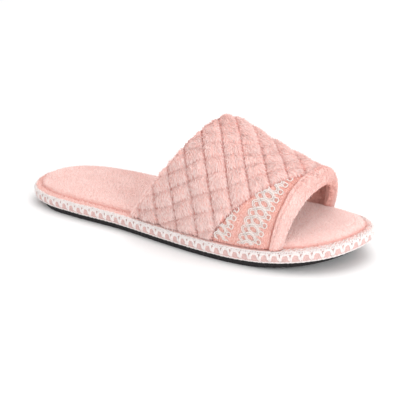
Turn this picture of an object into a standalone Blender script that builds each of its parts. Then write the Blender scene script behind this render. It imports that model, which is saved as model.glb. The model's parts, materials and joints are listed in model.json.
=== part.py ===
"""Open-toe scuff slipper for the right foot.

A quilted plush vamp arches over a padded insole, on a thin rubber sole with a stitched edge.
The last frame has its heel at x = 0, its toe at x = LENGTH and its centre line at y = 0.
The outer side of the foot is -Y. The floor is z = 0. Lengths are in metres.
The finished pieces are centred over the origin by to_world().
"""
import math

import bmesh
import bpy
import numpy as np

# Driving sizes
LENGTH = 0.258
GAP = 0.0003

# Outline of the stitched edge: station as a share of the length, half widths to each side
OUTLINE_COLUMNS = ("station", "outer_half", "inner_half")
OUTLINE = (
    (0.03, 0.0220, 0.0210),
    (0.10, 0.0315, 0.0330),
    (0.20, 0.0350, 0.0370),
    (0.35, 0.0370, 0.0370),
    (0.50, 0.0425, 0.0375),
    (0.62, 0.0460, 0.0420),
    (0.72, 0.0465, 0.0450),
    (0.82, 0.0435, 0.0425),
    (0.91, 0.0345, 0.0335),
    (0.97, 0.0205, 0.0205),
)
TOE_TIP_Y = 0.0040
SIDE_STATIONS = 48
SPLINE_STEPS = 24

# Lift of the whole sole at its two ends
SPRING_START = 0.70
TOE_SPRING = 0.0092
HEEL_LIFT_END = 0.12
HEEL_LIFT = 0.0010

# Outsole
OUTSOLE_THICK = 0.0040
OUTSOLE_PROFILE_COLUMNS = ("inset", "height_share")
OUTSOLE_PROFILE = (
    (0.0030, 0.00),
    (0.0018, 0.28),
    (0.0014, 1.00),
)
OUTSOLE_HEEL_INSET = 0.0065
OUTSOLE_HEEL_REACH = 0.018
OUTSOLE_TOE_INSET = 0.0055
OUTSOLE_TOE_REACH = 0.028

# Stitched edge band
BAND_BOTTOM = OUTSOLE_THICK + GAP
BAND_TOP = 0.0120
BAND_THICK = 0.0050
BAND_PROFILE_COLUMNS = ("inset_share", "height_share")
BAND_PROFILE = (
    (1.00, 0.00),
    (0.30, 0.00),
    (0.08, 0.20),
    (0.00, 0.50),
    (0.08, 0.80),
    (0.30, 1.00),
    (1.00, 1.00),
)

# Padded insole
INSOLE_INSET = BAND_THICK + GAP
SHOULDER_WIDTH = 0.0070
SHOULDER_HEIGHT = 0.0042
SHOULDER_RINGS = 4
CROWN = 0.0008
CROWN_STRIPS = 4

# Vamp: its ridge, its section and its edges
RIDGE_Y = 0.00155
RIDGE_COLUMNS = ("station_x", "ridge_height")
RIDGE = (
    (0.100, 0.0771),
    (0.150, 0.0796),
    (0.185, 0.0653),
    (0.226, 0.0508),
)
VAMP_INSET = 0.0010
OUTER_FULLNESS = 2.41
INNER_FULLNESS = 2.16
VAMP_WALL = 0.0050
EDGE_COLUMNS = ("top_x", "outer_foot_x", "inner_foot_x", "curve_power")
REAR_EDGE = (0.1511, 0.1042, 0.1057, 1.91)
BINDING_SEAM = (0.2162, 0.2099, 0.2092, 2.12)
VAMP_COLUMNS = 56
COLUMN_CROWDING = math.radians(75)
VAMP_ROWS = 23
HEM_COLUMNS = ("advance", "retreat")
HEM = (
    (-0.0020, 0.0016),
    (-0.0011, 0.0005),
)

# Quilting: two families of stitch lines over the vamp. A line's number at a point is worked out from
# the steps along the foot and round the girth, each counted in QUILT_STEP from QUILT_ORIGIN_X and the ridge
QUILT_STEP = 0.050
QUILT_ORIGIN_X = 0.150
QUILT_COLUMNS = ("start", "along", "round", "along_squared", "along_round", "outer_bend", "inner_bend",
                 "depth")
QUILT_LINES = (
    (5.20, 3.36, 2.63, -0.14, 0.18, 0.62, 0.30, 0.0014),
    (-4.07, 3.57, -4.76, 1.08, 0.95, -0.21, 0.60, 0.0009),
)

# Side insert: a wedge on the outer side, from the foot of the vamp to the top
WEDGE_WIDTH = 0.041
WEDGE_POWER = 1.3
INSERT_MIN_WIDTH = 0.0016
INSERT_SUNK = 0.0016
INSERT_ROWS = 7

# Plush roll round the toe opening
ROLL_THICK = 0.0092
ROLL_FLAT = 0.0034
ROLL_BACK_ROUND = 0.0040
ROLL_OUTER_REACH = 0.80
ROLL_INNER_REACH = 0.65
ROLL_ROWS = 7

# Lace trims: how far each strip lies behind the binding seam
LACE_COLUMNS = ("name", "near_edge", "far_edge")
LACES = (
    ("lace_trim_front", 0.0040, 0.0200),
    ("lace_trim_rear", 0.0240, 0.0400),
)
LACE_THICK = 0.0012
LACE_ROWS = 5
LACE_MIN_WIDTH = 0.0016

MATERIALS_COLUMNS = ("node", "colour", "roughness")
MATERIALS = (
    ("outsole", (0.025, 0.022, 0.025), 0.75),
    ("edge_binding", (0.860, 0.720, 0.690), 0.90),
    ("insole", (0.800, 0.470, 0.400), 0.95),
    ("upper", (0.780, 0.400, 0.340), 0.95),
    ("toe_binding", (0.790, 0.410, 0.350), 0.95),
    ("side_insert", (0.760, 0.330, 0.250), 0.90),
    ("lace_trim_front", (0.870, 0.700, 0.640), 0.85),
    ("lace_trim_rear", (0.870, 0.700, 0.640), 0.85),
)


def closed_spline(points, steps):
    """Smooth closed curve through points, its tangents weighted by the spans on each side."""
    count = len(points)
    spans = np.sqrt(np.linalg.norm(np.roll(points, -1, 0) - points, axis=1))
    slopes = (np.roll(points, -1, 0) - points) / spans[:, None]
    before = np.roll(spans, 1)[:, None]
    after = spans[:, None]
    tangents = (after * np.roll(slopes, 1, 0) + before * slopes) / (before + after)
    curve = []
    for index in range(count):
        start, end = points[index], points[(index + 1) % count]
        pull_out = tangents[index] * spans[index]
        pull_in = tangents[(index + 1) % count] * spans[index]
        for share in np.arange(steps) / steps:
            square, cube = share ** 2, share ** 3
            curve.append((2 * cube - 3 * square + 1) * start + (cube - 2 * square + share) * pull_out
                         + (3 * square - 2 * cube) * end + (cube - square) * pull_in)
    return np.array(curve)


def outline_curve():
    """Dense closed outline from the heel, along the outer side to the toe and back."""
    outer = [(station * LENGTH, -half) for station, half, _ in OUTLINE]
    inner = [(station * LENGTH, half) for station, _, half in OUTLINE]
    heel, toe = (0.0, 0.0), (LENGTH, TOE_TIP_Y)
    return closed_spline(np.array([heel] + outer + [toe] + inner[::-1]), SPLINE_STEPS)


CURVE = outline_curve()
TOE_INDEX = (len(OUTLINE) + 1) * SPLINE_STEPS
OUTER_SIDE = CURVE[:TOE_INDEX + 1]
INNER_SIDE = np.vstack([CURVE[TOE_INDEX:], CURVE[:1]])[::-1]


def outer_y(x):
    """Y of the outline's outer side at x."""
    return np.interp(x, OUTER_SIDE[:, 0], OUTER_SIDE[:, 1])


def inner_y(x):
    """Y of the outline's inner side at x."""
    return np.interp(x, INNER_SIDE[:, 0], INNER_SIDE[:, 1])


def outline_ring():
    """Outline at cosine-spaced stations, heel first, then the outer side, the toe and the inner side."""
    stations = LENGTH / 2 * (1 - np.cos(np.pi * np.arange(SIDE_STATIONS + 1) / SIDE_STATIONS))
    outer = np.column_stack([stations, outer_y(stations)])
    inner = np.column_stack([stations, inner_y(stations)])
    return np.vstack([outer, inner[-2:0:-1]])


RING = outline_ring()
CENTRE_Y = (RING[:, 1].max() + RING[:, 1].min()) / 2


def ring_normals(ring):
    """Unit normals of a closed ring, pointing outwards."""
    tangent = np.roll(ring, -1, 0) - np.roll(ring, 1, 0)
    normal = np.column_stack([tangent[:, 1], -tangent[:, 0]])
    return normal / np.linalg.norm(normal, axis=1)[:, None]


NORMALS = ring_normals(RING)


def lift(x):
    """Rise of the sole above the floor at x: toe spring and heel lift."""
    spring_x = SPRING_START * LENGTH
    heel_x = HEEL_LIFT_END * LENGTH
    spring = TOE_SPRING * np.clip((x - spring_x) / (LENGTH - spring_x), 0, None) ** 2
    heel = HEEL_LIFT * np.clip((heel_x - x) / heel_x, 0, None) ** 2
    return spring + heel


def sole_ring(inset, height):
    """Ring of the sole at an inset from the outline and a height above the outsole's underside."""
    flat = RING - NORMALS * np.broadcast_to(inset, len(RING))[:, None]
    return np.column_stack([flat, height + lift(flat[:, 0])])


def shoulder_height(inset):
    """Height of the insole's top over the band's top, at an inset from the outline."""
    share = np.clip((inset - INSOLE_INSET) / SHOULDER_WIDTH, 0, 1)
    return SHOULDER_HEIGHT * np.sqrt(1 - (1 - share) ** 2)


def foot_height(x, inset):
    """Height at which the foot of the vamp stands, clear of the band and of the insole's shoulder."""
    return BAND_TOP + GAP + lift(x) + shoulder_height(inset)


def ridge_height(x):
    """Height of the vamp's outer face along its ridge, a smooth curve through the RIDGE table."""
    knots = np.array(RIDGE)
    rises = np.diff(knots[:, 1]) / np.diff(knots[:, 0])
    slopes = np.concatenate([[0.0], (rises[:-1] + rises[1:]) / 2, rises[-1:]])
    slopes[1] = 0.0
    span = np.clip(np.searchsorted(knots[:, 0], x) - 1, 0, len(knots) - 2)
    start, end = knots[span, 0], knots[span + 1, 0]
    width = end - start
    share = (x - start) / width
    square, cube = share ** 2, share ** 3
    return ((2 * cube - 3 * square + 1) * knots[span, 1] + (cube - 2 * square + share) * width * slopes[span]
            + (3 * square - 2 * cube) * knots[span + 1, 1] + (cube - square) * width * slopes[span + 1])


def vamp_point(x, side, offset):
    """Point on the vamp's section at x; side runs from -1, the outer foot, over 0 to 1, the inner foot."""
    x, side, offset = np.broadcast_arrays(x, side, offset)
    inset = VAMP_INSET + offset
    base = foot_height(x, inset)
    turn = (1 - np.abs(side)) * np.pi / 2
    fullness = np.where(side < 0, OUTER_FULLNESS, INNER_FULLNESS)
    reach = np.cos(turn) ** (2 / fullness)
    climb = np.sin(turn) ** (2 / fullness)
    foot = np.where(side < 0, outer_y(x) + inset, inner_y(x) - inset)
    y = RIDGE_Y + (foot - RIDGE_Y) * reach
    z = base + (ridge_height(x) - offset - base) * climb
    return np.stack([x, y, z], axis=-1)


def edge_x(edge, side):
    """X of an edge of the vamp at a side value, from a row of EDGE_COLUMNS."""
    top, outer_foot, inner_foot, power = edge
    foot = np.where(side < 0, outer_foot, inner_foot)
    return top - (top - foot) * np.abs(side) ** power


def wedge_width(side):
    """Width of the side insert behind the binding seam: nothing on the inner side of the ridge."""
    return WEDGE_WIDTH * np.maximum(-side, 0) ** WEDGE_POWER


def girth(x, side):
    """Length round the vamp's section from the ridge to a side value, less than 0 on the outer side."""
    shares = np.linspace(0, 1, 25)
    points = vamp_point(x[..., None], side[..., None] * shares, 0.0)
    lengths = np.linalg.norm(np.diff(points, axis=-2), axis=-1).sum(axis=-1)
    return np.sign(side) * lengths


def quilt_relief(x, side):
    """Depth of the quilting below the tops of its cells: a trough along each stitch line."""
    along = (x - QUILT_ORIGIN_X) / QUILT_STEP
    turn = girth(x, side) / QUILT_STEP
    outer_turn = np.minimum(turn, 0)
    inner_turn = np.maximum(turn, 0)
    relief = 0.0
    for start, per_along, per_turn, squared, mixed, outer_bend, inner_bend, depth in QUILT_LINES:
        number = (start + per_along * along + per_turn * turn + squared * along ** 2
                  + mixed * along * outer_turn + outer_bend * outer_turn ** 2 + inner_bend * inner_turn ** 2)
        relief = relief + depth * (1 + np.cos(2 * np.pi * number)) / 2
    return relief


def to_world(points):
    """Last frame to the part's own frame, centred over the origin."""
    return np.asarray(points) - np.array([LENGTH / 2, CENTRE_Y, 0.0])


def make_object(name, points, faces):
    """Closed mesh object with its normals outwards."""
    mesh = bpy.data.meshes.new(name)
    mesh.from_pydata([tuple(point) for point in to_world(points)], [], faces)
    work = bmesh.new()
    work.from_mesh(mesh)
    bmesh.ops.recalc_face_normals(work, faces=work.faces)
    work.to_mesh(mesh)
    work.free()
    mesh.shade_smooth()
    mesh.set_sharp_from_angle(angle=math.radians(40))
    obj = bpy.data.objects.new(name, mesh)
    bpy.data.collections["scuff_slipper"].objects.link(obj)
    return obj


def band_faces(first, second, count):
    """Quads between two rings of count points that start at the given indices."""
    return [(first + k, first + (k + 1) % count, second + (k + 1) % count, second + k)
            for k in range(count)]


def stacked_sole(name, rings, strips):
    """Solid through rings, closed below by a flat ladder and above by a crowned one."""
    count = len(RING)
    half = count // 2
    points = list(np.vstack(rings))
    faces = []
    for level in range(len(rings) - 1):
        faces += band_faces(level * count, (level + 1) * count, count)
    faces += ladder(points, 0, count, half, 1, 0.0)
    faces += ladder(points, (len(rings) - 1) * count, count, half, strips, CROWN)
    return make_object(name, points, faces)


def ladder(points, first, count, half, strips, crown):
    """Faces across a ring from side to side; the points between them rise to the crown."""
    rows = []
    for k in range(1, half):
        outer, inner = first + k, first + count - k
        row = [outer]
        start, end = np.array(points[outer]), np.array(points[inner])
        for share in np.arange(1, strips) / strips:
            middle = start + (end - start) * share
            middle[2] += crown * math.sin(math.pi * share)
            points.append(middle)
            row.append(len(points) - 1)
        rows.append(row + [inner])
    faces = [(first, a, b) for a, b in zip(rows[0], rows[0][1:])]
    for low, high in zip(rows, rows[1:]):
        faces += [(low[k], low[k + 1], high[k + 1], high[k]) for k in range(strips)]
    faces += [(first + half, a, b) for a, b in zip(rows[-1], rows[-1][1:])]
    return faces


def arched_wall(name, outer, inner):
    """Solid between two grids of points with paired rows; the columns follow each other round the arch."""
    columns, rows = outer.shape[:2]
    loop = 2 * rows
    points = np.concatenate([outer, inner[:, ::-1]], axis=1).reshape(-1, 3)
    faces = []
    for column in range(columns - 1):
        faces += band_faces(column * loop, (column + 1) * loop, loop)
    for start in (0, (columns - 1) * loop):
        for row in range(rows - 1):
            faces.append((start + row, start + row + 1, start + loop - 2 - row, start + loop - 1 - row))
    return make_object(name, points, faces)


def make_outsole():
    """Rubber sole, drawn in under the heel and the toe, flat on the floor between its two lifted ends."""
    heel_inset = OUTSOLE_HEEL_INSET * np.exp(-(RING[:, 0] / OUTSOLE_HEEL_REACH) ** 2)
    toe_inset = OUTSOLE_TOE_INSET * np.exp(-((LENGTH - RING[:, 0]) / OUTSOLE_TOE_REACH) ** 2)
    rings = [sole_ring(inset + heel_inset + toe_inset, share * OUTSOLE_THICK) for inset, share in OUTSOLE_PROFILE]
    return stacked_sole("outsole", rings, 1)


def make_edge_binding():
    """Band of stitched yarn round the edge, rounded on its outer face."""
    height = BAND_TOP - BAND_BOTTOM
    rings = [sole_ring(inset * BAND_THICK, BAND_BOTTOM + share * height) for inset, share in BAND_PROFILE]
    count = len(RING)
    faces = []
    for level in range(len(rings)):
        faces += band_faces(level * count, (level + 1) % len(rings) * count, count)
    return make_object("edge_binding", np.vstack(rings), faces)


def make_insole():
    """Thick pad inside the band, with a rounded shoulder and a low crown."""
    rings = [sole_ring(INSOLE_INSET, BAND_BOTTOM)]
    for turn in np.linspace(0, math.pi / 2, SHOULDER_RINGS + 1):
        inset = INSOLE_INSET + SHOULDER_WIDTH * (1 - math.cos(turn))
        rings.append(sole_ring(inset, BAND_TOP + SHOULDER_HEIGHT * math.sin(turn)))
    return stacked_sole("insole", rings, CROWN_STRIPS)


def arch_sides():
    """Side values across the arch, closer together towards its two feet."""
    return np.sin(np.linspace(-1, 1, VAMP_COLUMNS) * COLUMN_CROWDING) / math.sin(COLUMN_CROWDING)


def make_upper():
    """Quilted vamp: one arched wall from the rear hem to the binding seam, less the wedge."""
    side = arch_sides()[:, None]
    rear = edge_x(REAR_EDGE, side)
    front = edge_x(BINDING_SEAM, side) - wedge_width(side)
    share = np.linspace(0, 1, VAMP_ROWS)[None, :]
    x = rear + (front - rear) * share
    relief = quilt_relief(x, np.broadcast_to(side, x.shape))
    outer = [vamp_point(rear + advance, side, retreat) for advance, retreat in HEM]
    inner = [vamp_point(rear + advance, side, VAMP_WALL - retreat) for advance, retreat in HEM]
    outer.append(vamp_point(x, side, relief))
    inner.append(vamp_point(x, side, VAMP_WALL))
    return arched_wall("upper", np.concatenate(outer, axis=1), np.concatenate(inner, axis=1))


def make_side_insert():
    """Flat wedge let in between the quilting and the roll, sunk a little below the quilting."""
    side = arch_sides()
    side = side[wedge_width(side) > INSERT_MIN_WIDTH][:, None]
    front = edge_x(BINDING_SEAM, side)
    rear = front - wedge_width(side) + GAP
    x = rear + (front - rear) * np.linspace(0, 1, INSERT_ROWS)[None, :]
    return arched_wall("side_insert", vamp_point(x, side, INSERT_SUNK), vamp_point(x, side, VAMP_WALL))


def make_toe_binding():
    """Plush roll along the binding seam, proud of the vamp inside and shorter at its two feet."""
    side = arch_sides()[:, None]
    seam = edge_x(BINDING_SEAM, side)
    reach = 1 - (1 - np.where(side < 0, ROLL_OUTER_REACH, ROLL_INNER_REACH)) * side ** 2
    radius = ROLL_THICK / 2
    turn = np.linspace(0, math.pi, ROLL_ROWS)[None, :]
    depth = radius * (1 - np.cos(turn))
    front = reach * (ROLL_FLAT + radius * np.sin(turn))
    share = np.clip((depth - ROLL_THICK) / ROLL_BACK_ROUND + 1, 0, 1)
    back = GAP + reach * ROLL_BACK_ROUND * (1 - np.sqrt(1 - share ** 2))
    return arched_wall("toe_binding", vamp_point(seam + front, side, depth), vamp_point(seam + back, side, depth))


def make_lace_trim(name, near_edge, far_edge):
    """Strip of lace on the insert, parallel to the binding seam and cut off along the wedge."""
    side = arch_sides()
    side = side[side < 0]
    near = edge_x(BINDING_SEAM, side) - near_edge
    far = edge_x(BINDING_SEAM, side) - np.minimum(far_edge, wedge_width(side) - 2 * GAP)
    kept = near - far > LACE_MIN_WIDTH
    side, near, far = side[kept][:, None], near[kept][:, None], far[kept][:, None]
    x = far + (near - far) * np.linspace(0, 1, LACE_ROWS)[None, :]
    bottom = INSERT_SUNK - GAP
    return arched_wall(name, vamp_point(x, side, bottom - LACE_THICK), vamp_point(x, side, bottom))


def give_material(obj, colour, roughness):
    """Principled material in the piece's own colour."""
    material = bpy.data.materials.new(obj.name)
    material.use_nodes = True
    shader = material.node_tree.nodes["Principled BSDF"]
    shader.inputs["Base Color"].default_value = (*colour, 1.0)
    shader.inputs["Roughness"].default_value = roughness
    shader.inputs["Metallic"].default_value = 0.0
    obj.data.materials.append(material)


def main():
    """Build every piece of the slipper."""
    for obj in list(bpy.data.objects):
        bpy.data.objects.remove(obj, do_unlink=True)
    collection = bpy.data.collections.new("scuff_slipper")
    bpy.context.scene.collection.children.link(collection)
    pieces = [make_outsole(), make_edge_binding(), make_insole(), make_upper(), make_side_insert(),
              make_toe_binding()]
    pieces += [make_lace_trim(*row) for row in LACES]
    looks = {node: (colour, roughness) for node, colour, roughness in MATERIALS}
    for piece in pieces:
        give_material(piece, *looks[piece.name])


main()
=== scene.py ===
"""Looks of the scuff slipper: quilted plush vamp, plush footbed, stitched edge, lace trims and rubber sole.

Laid out as a Blender add-on and run as a script. Shapes are worked out in the last frame, in metres:
heel at x = 0, toe at x = LENGTH, centre line at y = 0, outer side of the foot at -Y, floor at z = 0.
to_world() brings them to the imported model's frame.
"""
import json
import math

import bmesh
import bpy
import numpy as np
from bpy.props import FloatProperty, FloatVectorProperty, IntProperty, PointerProperty
from mathutils import Matrix, Vector, noise

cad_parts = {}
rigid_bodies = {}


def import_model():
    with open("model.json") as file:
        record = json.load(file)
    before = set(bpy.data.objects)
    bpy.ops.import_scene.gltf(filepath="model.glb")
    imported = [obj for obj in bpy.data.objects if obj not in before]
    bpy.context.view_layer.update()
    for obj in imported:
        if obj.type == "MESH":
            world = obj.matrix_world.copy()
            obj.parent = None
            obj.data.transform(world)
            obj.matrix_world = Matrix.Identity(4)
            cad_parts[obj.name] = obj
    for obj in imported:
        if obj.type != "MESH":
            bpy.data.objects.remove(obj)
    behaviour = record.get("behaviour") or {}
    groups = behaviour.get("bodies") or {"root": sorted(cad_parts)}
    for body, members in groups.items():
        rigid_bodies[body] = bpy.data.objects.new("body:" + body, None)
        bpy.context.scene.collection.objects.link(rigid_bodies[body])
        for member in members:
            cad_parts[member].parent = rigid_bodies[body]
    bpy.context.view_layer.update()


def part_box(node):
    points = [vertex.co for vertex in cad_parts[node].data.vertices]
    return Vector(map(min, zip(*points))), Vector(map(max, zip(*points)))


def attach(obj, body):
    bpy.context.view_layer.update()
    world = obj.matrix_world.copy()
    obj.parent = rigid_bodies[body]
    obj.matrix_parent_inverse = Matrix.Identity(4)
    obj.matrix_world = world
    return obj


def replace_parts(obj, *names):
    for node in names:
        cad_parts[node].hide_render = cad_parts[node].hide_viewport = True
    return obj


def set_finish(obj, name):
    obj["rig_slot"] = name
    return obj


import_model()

bl_info = {
    "name": "Scuff slipper",
    "version": (1, 0, 0),
    "blender": (4, 5, 0),
    "location": "3D View > Sidebar > Slipper",
    "description": "Dresses the solids of an open-toe scuff slipper",
    "category": "Object",
}

MM = 0.001

# Last and sole, as in the solids
EDGE_LOW, EDGE_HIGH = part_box("edge_binding")
LENGTH = EDGE_HIGH[0] - EDGE_LOW[0]
GAP = 0.0003
OUTLINE = (
    (0.03, 0.0220, 0.0210),
    (0.10, 0.0315, 0.0330),
    (0.20, 0.0350, 0.0370),
    (0.35, 0.0370, 0.0370),
    (0.50, 0.0425, 0.0375),
    (0.62, 0.0460, 0.0420),
    (0.72, 0.0465, 0.0450),
    (0.82, 0.0435, 0.0425),
    (0.91, 0.0345, 0.0335),
    (0.97, 0.0205, 0.0205),
)
TOE_TIP_Y = 0.0040
SPLINE_STEPS = 96
CAD_STATIONS = 48
NORMAL_REACH = 0.012
SPRING_START = 0.70
TOE_SPRING = 0.0092
HEEL_LIFT_END = 0.12
HEEL_LIFT = 0.0010
OUTSOLE_THICK = 0.0040
OUTSOLE_HEEL_INSET = 0.0065
OUTSOLE_HEEL_REACH = 0.018
OUTSOLE_TOE_INSET = 0.0055
OUTSOLE_TOE_REACH = 0.028
BAND_BOTTOM = OUTSOLE_THICK + GAP
BAND_TOP = 0.0120
BAND_THICK = 0.0050
INSOLE_INSET = BAND_THICK + GAP
SHOULDER_WIDTH = 0.0070
SHOULDER_HEIGHT = 0.0042
CROWN = 0.0008

# Vamp, as in the solids
RIDGE_Y = 0.00155
RIDGE = ((0.100, 0.0771), (0.150, 0.0796), (0.185, 0.0653), (0.226, 0.0508))
VAMP_INSET = 0.0010
OUTER_FULLNESS = 2.41
INNER_FULLNESS = 2.16
VAMP_WALL = 0.0050
REAR_EDGE = (0.1511, 0.1042, 0.1057, 1.91)
BINDING_SEAM = (0.2162, 0.2099, 0.2092, 2.12)
QUILT_STEP = 0.050
QUILT_ORIGIN_X = 0.150
STEEP_LINES = (5.20, 3.36, 2.63, -0.14, 0.18, 0.62, 0.30)
SHALLOW_LINES = (-4.07, 3.57, -4.76, 1.08, 0.95, -0.21, 0.60)
WEDGE_WIDTH = 0.041
WEDGE_POWER = 1.3
INSERT_SUNK = 0.0016
ROLL_THICK = 0.0092
ROLL_FLAT = 0.0034
ROLL_BACK_ROUND = 0.0040
ROLL_OUTER_REACH = 0.80
ROLL_INNER_REACH = 0.65


def hermite(start, end, pull_out, pull_in, share):
    """Place at a share of the way from start to end, on a curve with those pulls at its ends."""
    square, cube = share ** 2, share ** 3
    return ((2 * cube - 3 * square + 1) * start + (cube - 2 * square + share) * pull_out
            + (3 * square - 2 * cube) * end + (cube - square) * pull_in)


def closed_spline(points, steps):
    """Smooth closed curve through points, its tangents weighted by the spans on each side."""
    ends = np.roll(points, -1, 0)
    spans = np.sqrt(np.linalg.norm(ends - points, axis=1))[:, None]
    slopes = (ends - points) / spans
    before = np.roll(spans, 1, 0)
    tangents = (spans * np.roll(slopes, 1, 0) + before * slopes) / (before + spans)
    shares = (np.arange(steps) / steps)[None, :, None]
    curve = hermite(points[:, None], ends[:, None], (tangents * spans)[:, None],
                    (np.roll(tangents, -1, 0) * spans)[:, None], shares)
    return curve.reshape(-1, 2)


def smooth_path(points, steps):
    """Smooth curve through a short open list of points."""
    points = np.array(points, dtype=float)
    padded = np.vstack([2 * points[0] - points[1], points, 2 * points[-1] - points[-2]])
    pulls = (padded[2:] - padded[:-2])[:, None] / 2
    shares = (np.arange(steps) / steps)[None, :, None]
    curve = hermite(points[:-1, None], points[1:, None], pulls[:-1], pulls[1:], shares)
    return np.vstack([curve.reshape(-1, 2), points[-1:]])


def run_length(points):
    """Length along a path at each of its points."""
    return np.concatenate([[0.0], np.cumsum(np.linalg.norm(np.diff(points, axis=0), axis=1))])


def near(distance, width):
    """1 on a line, falling softly to 0 beyond that width."""
    return np.exp(-(distance / width) ** 2)


def outline_sides():
    """The outline's outer and inner side, each from the heel to the toe."""
    outer = [(station * LENGTH, -half) for station, half, _ in OUTLINE]
    inner = [(station * LENGTH, half) for station, _, half in OUTLINE]
    heel, toe = (0.0, 0.0), (LENGTH, TOE_TIP_Y)
    curve = closed_spline(np.array([heel] + outer + [toe] + inner[::-1]), SPLINE_STEPS)
    tip = (len(OUTLINE) + 1) * SPLINE_STEPS
    return curve[:tip + 1], np.vstack([curve[tip:], curve[:1]])[::-1]


OUTER_SIDE, INNER_SIDE = outline_sides()


def outer_y(x):
    """Y of the outline's outer side at x."""
    return np.interp(x, OUTER_SIDE[:, 0], OUTER_SIDE[:, 1])


def inner_y(x):
    """Y of the outline's inner side at x."""
    return np.interp(x, INNER_SIDE[:, 0], INNER_SIDE[:, 1])


def outline_ring(stations_per_side):
    """Outline and its outward normals: heel first, then the outer side, the toe and the inner side."""
    turn = np.pi * np.arange(stations_per_side + 1) / stations_per_side
    stations = LENGTH / 2 * (1 - np.cos(turn))
    outer = np.column_stack([stations, outer_y(stations)])
    inner = np.column_stack([stations, inner_y(stations)])
    ring = np.vstack([outer, inner[-2:0:-1]])
    steps = np.linalg.norm(np.roll(ring, -1, 0) - ring, axis=1)
    tangent = np.roll(ring, -1, 0) - np.roll(ring, 1, 0)
    normals = np.column_stack([tangent[:, 1], -tangent[:, 0]])
    normals /= np.linalg.norm(normals, axis=1)[:, None]
    run = np.concatenate([[0.0], np.cumsum(steps)[:-1]])
    apart = np.abs(run[:, None] - run[None, :])
    apart = np.minimum(apart, steps.sum() - apart)
    weight = near(apart, NORMAL_REACH) * steps[None, :]
    smooth = weight @ normals
    return ring, smooth / np.linalg.norm(smooth, axis=1)[:, None]


CAD_RING, _ = outline_ring(CAD_STATIONS)
CENTRE_Y = (CAD_RING[:, 1].max() + CAD_RING[:, 1].min()) / 2


def to_world(points):
    """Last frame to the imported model's frame."""
    return np.asarray(points) - np.array([LENGTH / 2, CENTRE_Y, 0.0])


def lift(x):
    """Rise of the sole above the floor at x: toe spring and heel lift."""
    spring_x = SPRING_START * LENGTH
    heel_x = HEEL_LIFT_END * LENGTH
    spring = TOE_SPRING * np.clip((x - spring_x) / (LENGTH - spring_x), 0, None) ** 2
    heel = HEEL_LIFT * np.clip((heel_x - x) / heel_x, 0, None) ** 2
    return spring + heel


def shoulder_height(inset):
    """Height of the footbed's top over the band's top, at an inset from the outline."""
    share = np.clip((inset - INSOLE_INSET) / SHOULDER_WIDTH, 0, 1)
    return SHOULDER_HEIGHT * np.sqrt(1 - (1 - share) ** 2)


def foot_height(x, inset):
    """Height at which the foot of the vamp stands."""
    return BAND_TOP + GAP + lift(x) + shoulder_height(inset)


def ridge_height(x):
    """Height of the vamp's outer face along its ridge."""
    knots = np.array(RIDGE)
    rises = np.diff(knots[:, 1]) / np.diff(knots[:, 0])
    slopes = np.concatenate([[0.0], (rises[:-1] + rises[1:]) / 2, rises[-1:]])
    slopes[1] = 0.0
    span = np.clip(np.searchsorted(knots[:, 0], x) - 1, 0, len(knots) - 2)
    start, width = knots[span, 0], knots[span + 1, 0] - knots[span, 0]
    return hermite(knots[span, 1], knots[span + 1, 1], width * slopes[span], width * slopes[span + 1],
                   (x - start) / width)


def vamp_point(x, side, offset):
    """Point on the vamp's section at x; side runs from -1, the outer foot, over 0 to 1, the inner foot."""
    x, side, offset = np.broadcast_arrays(x, side, offset)
    inset = VAMP_INSET + offset
    base = foot_height(x, inset)
    turn = (1 - np.abs(side)) * np.pi / 2
    fullness = np.where(side < 0, OUTER_FULLNESS, INNER_FULLNESS)
    reach = np.cos(turn) ** (2 / fullness)
    climb = np.sin(turn) ** (2 / fullness)
    foot = np.where(side < 0, outer_y(x) + inset, inner_y(x) - inset)
    y = RIDGE_Y + (foot - RIDGE_Y) * reach
    z = base + (ridge_height(x) - offset - base) * climb
    return np.stack([x, y, z], axis=-1)


def edge_x(edge, side):
    """X of an edge of the vamp at a side value."""
    top, outer_foot, inner_foot, power = edge
    foot = np.where(side < 0, outer_foot, inner_foot)
    return top - (top - foot) * np.abs(side) ** power


def wedge_width(side):
    """Width of the side insert behind the binding seam."""
    return WEDGE_WIDTH * np.maximum(-side, 0) ** WEDGE_POWER


def girth(x, side):
    """Length round the vamp's section from the ridge to a side value, less than 0 on the outer side."""
    shares = np.linspace(0, 1, 25)
    points = vamp_point(x[..., None], side[..., None] * shares, 0.0)
    lengths = np.linalg.norm(np.diff(points, axis=-2), axis=-1).sum(axis=-1)
    return np.sign(side) * lengths


def line_number(row, x, turn):
    """Number of a stitch line of one family at x and a girth; a line runs where it is whole."""
    start, per_along, per_turn, squared, mixed, outer_bend, inner_bend = row
    along = (x - QUILT_ORIGIN_X) / QUILT_STEP
    turn = turn / QUILT_STEP
    outer_turn = np.minimum(turn, 0)
    inner_turn = np.maximum(turn, 0)
    return (start + per_along * along + per_turn * turn + squared * along ** 2
            + mixed * along * outer_turn + outer_bend * outer_turn ** 2 + inner_bend * inner_turn ** 2)


def arch_sides(count):
    """Side values across the arch, closer together towards its two feet."""
    reach = math.radians(75)
    return np.sin(np.linspace(-1, 1, count) * reach) / math.sin(reach)


def smooth_noise(points, size, seed=0.0):
    """Soft noise from -1 to 1 at each point of a grid; size is the width of a lump."""
    flat = np.asarray(points).reshape(-1, 3) / size + seed
    values = [noise.noise(Vector(point)) for point in flat]
    return np.array(values).reshape(np.asarray(points).shape[:-1])


def uneven(points, lumps):
    """Soft unevenness of a surface from the width and the height of its lumps."""
    return sum(height * smooth_noise(points, width) for width, height in lumps)


def skin_place(x, side, depth):
    """Place on the cloth of the vamp: along the foot, round it and into it."""
    return np.stack(np.broadcast_arrays(x, girth(x, side), depth), axis=-1)


# Meshes

def new_object(name, data):
    """Object of the scene for a mesh, a path, a light or a camera."""
    obj = bpy.data.objects.new(name, data)
    bpy.context.scene.collection.objects.link(obj)
    return obj


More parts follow.
